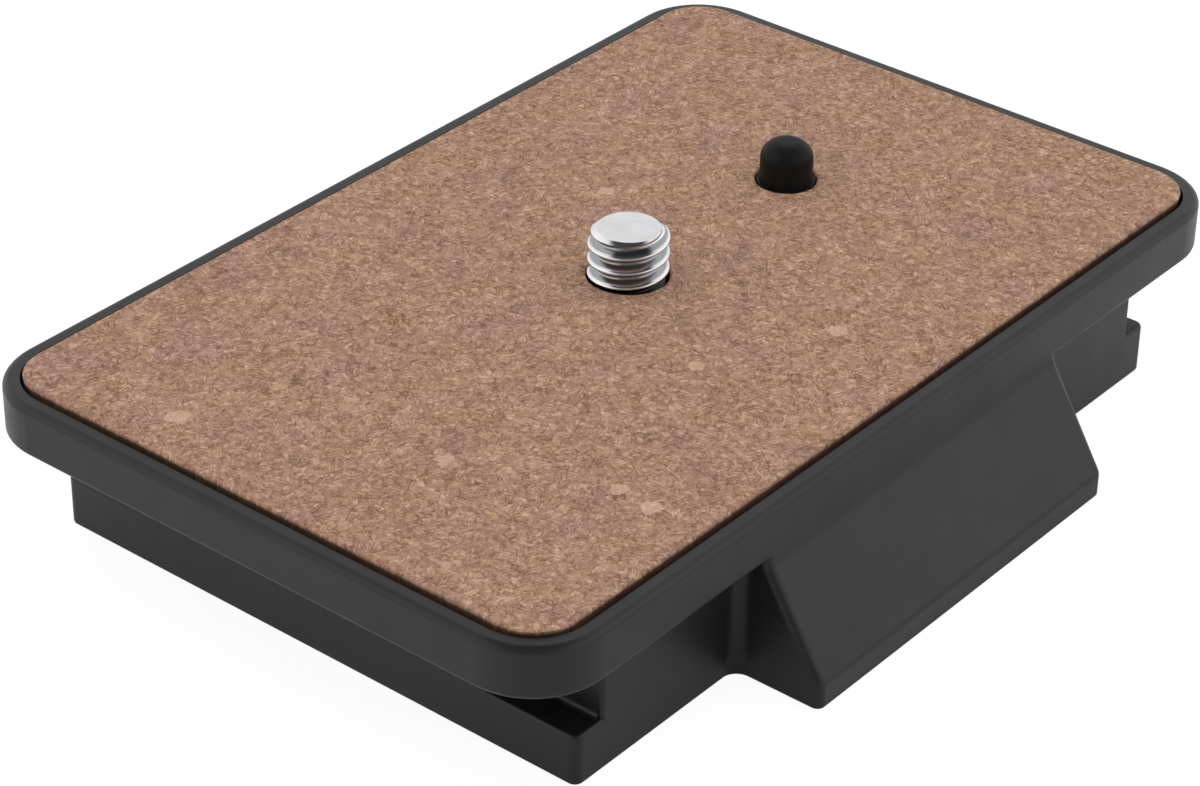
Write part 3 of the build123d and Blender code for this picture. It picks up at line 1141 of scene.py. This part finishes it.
    def deliver(self, material: bpy.types.Material, body: Body, slot: Slot, *nodes: str,
                smooth_angle: float) -> bpy.types.Object:
        """Merges doubles, turns the faces outwards, smooths and dresses the piece, and hands it over.

        Args:
            material: Its finish.
            body: The body that it moves with.
            slot: Its material slot in the record; not used.
            *nodes: The CAD nodes that it takes the place of.
            smooth_angle: Largest angle of an edge that is shaded smooth, in degrees.

        Returns:
            The finished object.
        """
        self.weld(self.WELD)
        self.open("VERT")
        self.face_outwards()
        self.close()
        bpy.ops.object.shade_smooth_by_angle(angle=math.radians(smooth_angle))
        self.solid.data.materials.clear()
        self.solid.data.materials.append(material)
        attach(self.solid, body.value)
        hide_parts(*nodes)
        return self.solid


@dataclass(frozen=True)
class ScrewThread:
    """A right-hand V thread with rounded crests and roots. Lengths are in metres.

    Attributes:
        outer: Radius over the crests.
        pitch: Rise of one turn.
        low: Height at which the thread begins.
        high: Height at which it ends.
        phase: Height of a crest on the +X side.
        crest_round: Radius of the crests.
        root_round: Radius of the roots.
        steps: Number of steps in one turn.
    """

    outer: float
    pitch: float
    low: float
    high: float
    phase: float
    crest_round: float
    root_round: float
    steps: int = 96

    FLANK = math.radians(60.0)        # lean of the thread's sides from the axis
    ARC_STEPS = 4                     # steps from a crest's or root's middle to its side
    SPARE = 1.5                       # turns beyond each end, which the slices take off

    def profile(self) -> list[tuple[float, float]]:
        """Works out radius and height along one turn's profile, from root to root."""
        half = self.pitch / 2
        apex = self.outer + self.crest_round
        crest = apex - 2 * self.crest_round
        root = apex - half * math.tan(self.FLANK) + 2 * self.root_round
        angles = [self.FLANK * step / self.ARC_STEPS for step in range(-self.ARC_STEPS, self.ARC_STEPS + 1)]
        top = [(crest + self.crest_round * math.cos(a), self.crest_round * math.sin(a)) for a in angles]
        rising = [(root - self.root_round * math.cos(a), self.root_round * math.sin(a) - half)
                  for a in angles[self.ARC_STEPS:]]
        falling = [(radius, -height) for radius, height in reversed(rising)]
        return rising + top + falling

    def rod(self, name: str) -> Workpiece:
        """Makes the threaded rod on the Z axis.

        Args:
            name: Name of the piece.

        Returns:
            The rod, cut flat at both ends.
        """
        turns = math.ceil((self.high - self.low) / self.pitch + 2 * self.SPARE)
        start = self.phase - self.pitch * math.ceil((self.phase - self.low) / self.pitch + self.SPARE)
        points = self.profile()
        radius, height = points[0]
        rod = Workpiece.start(name, bpy.ops.mesh.primitive_plane_add, size=self.pitch / 10,
                              location=(radius, 0.0, start + height))
        rod.open("VERT")
        bpy.ops.mesh.merge(type="CENTER")
        for next_radius, next_height in points[1:]:
            step = (next_radius - radius, 0.0, next_height - height)
            bpy.ops.mesh.extrude_vertices_move(TRANSFORM_OT_translate={"value": step})
            radius, height = next_radius, next_height
        rod.close()
        rod.wind(self.pitch, turns, self.steps, merge=True)
        rod.weld(Workpiece.SEAM)
        rod.slice(self.high, upward=True)
        rod.slice(self.low, upward=False)
        rod.open()
        rod.face_outwards()
        rod.close()
        return rod


@dataclass(frozen=True)
class CameraScrew:
    """Quarter-inch camera screw, turned in one piece with its head. Lengths are in metres.

    Attributes:
        thread: The thread.
        tip_radius: Radius of the flat tip.
        tip_height: Height of the tip's chamfer.
        tip_round: Rounding of the tip's edge.
        tip_flats: How far out and down each ring of that rounding lies, as shares of it.
        head: Radius and height of each ring, in millimetres, from the head's underside to the shank's end.
        edge: Rounding of the head's edges.
        slot_width: Width of the coin slot.
        slot_depth: Depth of the coin slot.
        hole_radius: Radius of the side holes for the ring.
        hole_depth: Depth of the side holes.
        hole_height: Height of the side holes.
        sides: Number of sides of the turned part.
    """

    thread: ScrewThread = ScrewThread(outer=3.175 * MM, pitch=1.27 * MM, low=14.3 * MM, high=19.4 * MM,
                                      phase=1.03 * MM, crest_round=0.1375 * MM, root_round=0.24 * MM)
    tip_radius: float = 2.4 * MM
    tip_height: float = 0.6 * MM
    tip_round: float = 0.07 * MM
    tip_flats: tuple = ((0.775, 0.6), (-0.5, 0.12), (-1.2, 0.0))
    head: tuple = ((7.1, 4.6), (7.5, 5.0), (7.5, 9.2), (7.1, 9.6), (3.95, 9.6), (3.95, 11.9), (2.2, 11.9),
                   (2.2, 12.85), (2.76, 12.85), (2.76, 14.45), (2.3, 14.8))
    edge: float = 0.1 * MM
    slot_width: float = 2.2 * MM
    slot_depth: float = 1.9 * MM
    hole_radius: float = 1.12 * MM
    hole_depth: float = 2.3 * MM
    hole_height: float = 6.8 * MM
    sides: int = 128

    def build(self, material: bpy.types.Material) -> bpy.types.Object:
        """Models the screw and dresses it.

        Args:
            material: Its finish.

        Returns:
            The finished object.
        """
        rings = [(radius * MM, height * MM) for radius, height in self.head]
        head_radius, head_bottom = rings[1][0], rings[0][1]
        screw = Workpiece.turned("machined_camera_screw", rings, self.sides)
        half = self.slot_width / 2
        slot = Workpiece.block("coin_slot", (-2 * head_radius, -half, head_bottom - self.slot_depth),
                               (2 * head_radius, half, head_bottom + self.slot_depth))
        screw.work(slot, Cut.REMOVE)
        for side in (-1, 1):
            hole = Workpiece.drum("ring_hole", self.hole_radius, 2 * self.hole_depth,
                                  (0.0, side * head_radius, self.hole_height), (math.pi / 2, 0.0, 0.0))
            screw.work(hole, Cut.REMOVE)
        screw.break_edges(self.edge)
        rod = self.thread.rod("thread")
        rod.work(self.point(), Cut.KEEP_COMMON)
        screw.work(rod, Cut.JOIN)
        return screw.deliver(material, Body.SCREW, Slot.POLISHED, "camera_screw", smooth_angle=30.0)

    def point(self) -> Workpiece:
        """Turns the envelope that gives the thread its chamfered tip."""
        top = self.thread.high
        spare = 0.5 * MM
        wide = self.thread.outer + spare
        slope = (self.thread.outer - self.tip_radius) / self.tip_height
        rings = [(wide, self.thread.low - spare), (wide, top - (wide - self.tip_radius) / slope)]
        rings += [(self.tip_radius + self.tip_round * out, top - self.tip_round * down)
                  for out, down in self.tip_flats]
        return Workpiece.turned("tip_envelope", rings, self.sides)


@dataclass(frozen=True)
class CorkSheet:
    """Cork pad with its worked top and its die-cut edges. Lengths are in metres.

    Attributes:
        length: Length of the pad.
        width: Width of the pad.
        corner: Radius of its corners.
        bottom: Height of its underside.
        top: Height of its top.
        screw_lip: Radius of the lip that the soft cork forms round the screw.
        lip_lift: How far that lip stands up.
        lip_reach: How far round the screw the cork rises with it.
        pin_hole: Radius of the pin's hole.
        pin_x: Place of the pin's hole.
        weave: Side of one facet of the worked top.
        edge: Rounding of the edges.
        pit: Size of the pits in the top.
        pitting: Depth of those pits.
        fray: Sizes of the cut edge's waves along X and along Y.
        wander: How far the cut edge strays sideways.
    """

    length: float = 81.3 * MM
    width: float = 51.2 * MM
    corner: float = 3.8 * MM
    bottom: float = 13.25 * MM
    top: float = 15.25 * MM
    screw_lip: float = 3.23 * MM
    lip_lift: float = 0.14 * MM
    lip_reach: float = 1.68 * MM
    pin_hole: float = 2.48 * MM
    pin_x: float = 20.0 * MM
    weave: float = 0.4 * MM
    edge: float = 0.1 * MM
    pit: float = 0.9 * MM
    pitting: float = 0.05 * MM
    fray: tuple[float, float] = (0.5 * MM, 0.6 * MM)
    wander: float = 0.09 * MM

    def holes(self) -> tuple[tuple[float, float], ...]:
        """Gives the radius and the place along X of each hole."""
        return ((self.screw_lip, 0.0), (self.pin_hole, self.pin_x))

    def build(self, material: bpy.types.Material) -> bpy.types.Object:
        """Models the pad and dresses it.

        Args:
            material: Its finish.

        Returns:
            The finished object.
        """
        pad = self.lay_top()
        pad.work(self.punch(), Cut.KEEP_COMMON)
        pad.open("FACE", "DESELECT")
        skin = self.top - 0.01 * MM
        pad.pick("FACE", lambda middle, normal: not (normal.z > 0.99 and middle.z > skin))
        bpy.ops.mesh.delete(type="FACE")
        pad.close()
        self.wear(pad)
        self.drop_edges(pad)
        return pad.deliver(material, Body.PLATE, Slot.CORK, "cork_pad", smooth_angle=50.0)

    def lay_top(self) -> Workpiece:
        """Lays the worked top as a thin slab of small facets."""
        pad = Workpiece.start("worked_cork_pad", bpy.ops.mesh.primitive_grid_add, size=1.0,
                              x_subdivisions=round(self.length / self.weave),
                              y_subdivisions=round(self.width / self.weave),
                              location=(0.0, 0.0, self.top), scale=(self.length, self.width, 1.0))
        size = pad.solid.dimensions
        pad.open()
        bpy.ops.transform.resize(value=(self.length / size.x, self.width / size.y, 1.0),
                                 center_override=(0.0, 0.0, self.top))
        bpy.ops.mesh.extrude_region_move(TRANSFORM_OT_translate={"value": (0.0, 0.0, -5 * self.edge)})
        pad.face_outwards()
        pad.close()
        return pad

    def punch(self) -> Workpiece:
        """Makes the punch: the pad's outline with its two holes, less the rounding of the edges."""
        half_length, half_width = self.length / 2 - self.edge, self.width / 2 - self.edge
        punch = Workpiece.block("cork_punch", (-half_length, -half_width, self.bottom),
                                (half_length, half_width, self.top + self.edge))
        punch.open("EDGE", "DESELECT")
        punch.pick("EDGE", lambda middle, along: abs(along.z) > 0.9)
        bpy.ops.mesh.bevel(offset=self.corner - self.edge, segments=16, profile=0.5, affect="EDGES")
        punch.close()
        for radius, x in self.holes():
            hole = Workpiece.drum("cork_hole", radius + self.edge, self.top, (x, 0.0, self.top), sides=72)
            punch.work(hole, Cut.REMOVE)
        return punch

    def wear(self, pad: Workpiece) -> None:
        """Works shallow pits into the top, and lifts the lip round the screw.

        Args:
            pad: The open top sheet.
        """
        pits = bpy.data.textures.new("cork_pits", "CLOUDS")
        pits.noise_scale = self.pit
        pits.noise_depth = 2
        pad.apply("DISPLACE", texture=pits, texture_coords="LOCAL", direction="Z", strength=self.pitting,
                  mid_level=0.75)
        rim = self.screw_lip + 1.5 * self.edge
        pad.open("VERT", "DESELECT")
        pad.pick("VERT", lambda place, normal: math.hypot(place.x, place.y) < rim)
        bpy.ops.transform.translate(value=(0.0, 0.0, self.lip_lift), use_proportional_edit=True,
                                    proportional_edit_falloff="SMOOTH", proportional_size=self.lip_reach)
        pad.close()

    def drop_edges(self, pad: Workpiece) -> None:
        """Rounds the sheet's borders over, drops them to the underside and closes it.

        Args:
            pad: The open top sheet.
        """
        pad.open("EDGE", "DESELECT")
        bpy.ops.mesh.select_non_manifold(extend=False, use_wire=False, use_boundary=True,
                                         use_multi_face=False, use_non_contiguous=False, use_verts=False)
        bpy.ops.mesh.extrude_edges_move(TRANSFORM_OT_translate={"value": (0.0, 0.0, -self.edge)})
        bpy.ops.object.vertex_group_add()
        bpy.ops.object.vertex_group_assign()
        half_length, half_width, band = self.length / 2, self.width / 2, 2.2 * self.corner
        self.spread(pad, lambda place: max(abs(place.x) - half_length, abs(place.y) - half_width) > -band,
                    (0.0, 0.0), half_length, half_width)
        for radius, x in self.holes():
            self.spread(pad, lambda place: math.hypot(place.x - x, place.y) < radius + 2 * self.edge,
                        (x, 0.0), -radius, -radius)
        pad.close()
        self.fray_edges(pad)
        pad.open("EDGE", "DESELECT")
        bpy.ops.object.vertex_group_select()
        bpy.ops.mesh.extrude_edges_move(TRANSFORM_OT_translate={"value": (0.0, 0.0, self.bottom - self.top)})
        bpy.ops.transform.resize(value=(1.0, 1.0, 0.0), center_override=(0.0, 0.0, self.bottom))
        bpy.ops.mesh.fill(use_beauty=True)
        pad.close()
        pad.solid.vertex_groups.clear()

    def fray_edges(self, pad: Workpiece) -> None:
        """Lets the borders stray a little sideways, as a punch leaves them.

        Args:
            pad: The open top sheet, with the borders in its vertex group.
        """
        for direction, size in zip("XY", self.fray):
            ragged = bpy.data.textures.new(f"ragged_cut_{direction}", "CLOUDS")
            ragged.noise_scale = size
            ragged.noise_depth = 1
            pad.apply("DISPLACE", texture=ragged, texture_coords="LOCAL", direction=direction,
                      strength=self.wander, mid_level=0.5, vertex_group=pad.solid.vertex_groups[0].name)

    def spread(self, pad: Workpiece, wanted: Callable[[Vector], bool], centre: tuple[float, float],
               reach_x: float, reach_y: float) -> None:
        """Moves one border outwards by the rounding of the edges.

        Args:
            pad: The open sheet, with the borders in its vertex group.
            wanted: Says whether a point belongs to the border.
            centre: Middle of the border.
            reach_x: Half its final length, negative for a hole that grows narrower.
            reach_y: Half its final width, negative for a hole that grows narrower.
        """
        bpy.ops.mesh.select_all(action="DESELECT")
        bpy.ops.object.vertex_group_select()
        mesh = bmesh.from_edit_mesh(pad.solid.data)
        for vert in mesh.verts:
            if vert.select and not wanted(vert.co):
                vert.select_set(False)
        mesh.select_flush(False)
        bmesh.update_edit_mesh(pad.solid.data)
        shares = [abs(reach) / (abs(reach) - math.copysign(self.edge, reach)) for reach in (reach_x, reach_y)]
        bpy.ops.transform.resize(value=(*shares, 1.0), center_override=(*centre, self.top))


@dataclass(frozen=True)
class PinSpring:
    """Compression spring of the locating pin, with closed and ground ends. Lengths are in metres.

    Attributes:
        x: Place of the spring's axis.
        radius: Mean radius of the coils.
        wire: Radius of the wire.
        bottom: Height of its lower end.
        length: Its length at rest.
        open_turns: Number of open coils between the two closed ones.
        closed_pitch: Rise of a closed coil, in radii of the wire.
        squashed: Length when the pin is pressed; not used.
        steps: Number of steps in one coil.
    """

    x: float = 20.0 * MM
    radius: float = 3.0 * MM
    wire: float = 0.25 * MM
    bottom: float = 2.9 * MM
    length: float = 6.1 * MM
    open_turns: int = 3
    closed_pitch: float = 2.1
    squashed: float = 2.8 * MM
    steps: int = 64

    def build(self, material: bpy.types.Material) -> bpy.types.Object:
        """Models the spring and dresses it.

        Args:
            material: Its finish.

        Returns:
            The finished object.
        """
        closed_rise = self.closed_pitch * self.wire
        open_rise = (self.length - 2 * closed_rise) / self.open_turns
        spring = self.coil(self.bottom, closed_rise, 1)
        middle = self.coil(self.bottom + closed_rise, open_rise, self.open_turns)
        last = self.coil(self.bottom + self.length - closed_rise, closed_rise, 1)
        spring.activate()
        for part in (middle, last):
            part.solid.select_set(True)
        bpy.ops.object.join()
        spring.weld(Workpiece.SEAM)
        spring.slice(self.bottom + self.length, upward=True)
        spring.slice(self.bottom, upward=False)
        spring.shift(self.x, 0.0, 0.0)
        piece = spring.deliver(material, Body.PLATE, Slot.SPRING, "pin_spring", smooth_angle=50.0)
        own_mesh(piece)
        return piece

    def coil(self, low: float, rise: float, turns: int) -> Workpiece:
        """Winds some coils on the Z axis.

        Args:
            low: Height at which the wire's middle starts.
            rise: Rise of one turn.
            turns: Number of turns.

        Returns:
            The coils, open at both ends.
        """
        wire = Workpiece.start("wound_spring", bpy.ops.mesh.primitive_circle_add, vertices=16,
                               radius=self.wire, location=(self.radius, 0.0, low),
                               rotation=(math.pi / 2, 0.0, 0.0))
        wire.wind(rise, turns, self.steps, merge=False)
        return wire


@dataclass(frozen=True)
class StrapScrew:
    """Self-tapping screw of the strap, head down. Lengths are in metres.

    Attributes:
        places: Place of each screw and the node that it takes the place of.
        head: Radius and height of each ring of the head, in millimetres, from its face up.
        thread: The thread.
        point: Length of the pointed end.
        drive_length: Length of the cross recess.
        drive_width: Width of the cross recess.
        drive_depth: Depth of the cross recess.
        face: Height of the head's face.
        edge: Rounding of the head's edges.
        blunt: Radius of the point's end.
        sides: Number of sides of the turned part.
    """

    places: tuple = ((20.0 * MM, -7.6 * MM, "retainer_screw_1"), (20.0 * MM, 7.6 * MM, "retainer_screw_2"))
    head: tuple = ((1.4, 0.9), (1.63, 0.946), (1.824, 1.076), (1.954, 1.27), (2.0, 1.5), (2.0, 2.1),
                   (0.8, 2.1), (0.8, 2.5))
    thread: ScrewThread = ScrewThread(outer=1.0 * MM, pitch=0.7 * MM, low=2.3 * MM, high=7.1 * MM, phase=0.0,
                                      crest_round=0.04 * MM, root_round=0.2 * MM, steps=48)
    point: float = 1.3 * MM
    drive_length: float = 2.2 * MM
    drive_width: float = 0.6 * MM
    drive_depth: float = 0.7 * MM
    face: float = 0.9 * MM
    edge: float = 0.04 * MM
    blunt: float = 0.1 * MM
    sides: int = 64

    def build(self, material: bpy.types.Material) -> list[bpy.types.Object]:
        """Models one screw, copies it to every place and dresses them.

        Args:
            material: Their finish.

        Returns:
            The finished objects.
        """
        rings = [(radius * MM, height * MM) for radius, height in self.head]
        screw = Workpiece.turned("tapping_screw", rings, self.sides)
        long, narrow = self.drive_length / 2, self.drive_width / 2
        for x, y in ((long, narrow), (narrow, long)):
            arm = Workpiece.block("drive_arm", (-x, -y, self.face - self.drive_depth),
                                  (x, y, self.face + self.drive_depth))
            screw.work(arm, Cut.REMOVE)
        screw.break_edges(self.edge)
        rod = self.thread.rod("tapping_thread")
        low, high, wide = self.thread.low - self.point, self.thread.high, 2 * self.thread.outer
        rings = [(wide, low), (wide, high - 2 * self.point), (self.blunt, high)]
        rod.work(Workpiece.turned("point_envelope", rings, self.sides), Cut.KEEP_COMMON)
        screw.work(rod, Cut.JOIN)
        pieces = []
        for number, (x, y, node) in enumerate(self.places, start=1):
            copy = screw.twin(f"tapping_screw_{number}").shift(x, y, 0.0)
            pieces.append(copy.deliver(material, Body.PLATE, Slot.PLATED, node, smooth_angle=32.0))
        bpy.data.objects.remove(screw.solid)
        return pieces


@dataclass(frozen=True)
class DressedNode:
    """A piece whose solid is already right and only takes its finish.

    Attributes:
        node: Name of the piece.
    """

    node: str

    def build(self, material: bpy.types.Material) -> bpy.types.Object:
        """Gives the piece its material.

        Args:
            material: Its finish.

        Returns:
            The dressed object.
        """
        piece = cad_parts[self.node]
        if not piece.data.materials:
            piece.data.materials.append(material)
        for index in range(len(piece.data.materials)):
            piece.data.materials[index] = material
        return piece


def main() -> None:
    """Builds the camera, the studio and every piece."""
    logging.basicConfig(level=logging.INFO, format="%(name)s: %(message)s")
    camera = PhotoCamera()
    camera.build()
    Studio().build(camera)
    polished = TurnedSteel("polished_screw", (222, 222, 224), 0.13).material()
    spring_steel = SheetSteel("spring_steel_finish", (176, 176, 180), 0.3).material()
    plated = SheetSteel("zinc_plate", (200, 202, 208), 0.32).material()
    wire = SheetSteel("bright_wire", (214, 214, 217), 0.2).material()
    LOG.info("%s is dressed", DressedNode("plate_body").build(MouldedPlastic().material()).name)
    LOG.info("%s is built", CorkSheet().build(AgglomeratedCork().material()).name)
    LOG.info("%s is built", CameraScrew().build(polished).name)
    LOG.info("%s is built", PinSpring().build(spring_steel).name)
    for piece in StrapScrew().build(plated):
        LOG.info("%s is built", piece.name)
    dressed = (("retaining_clip", spring_steel), ("friction_washer", spring_steel), ("d_ring", wire),
               ("pin_retainer", plated), ("video_pin", BlackSatin().material()))
    for node, material in dressed:
        LOG.info("%s is dressed", DressedNode(node).build(material).name)


if __name__ == "__main__":
    main()
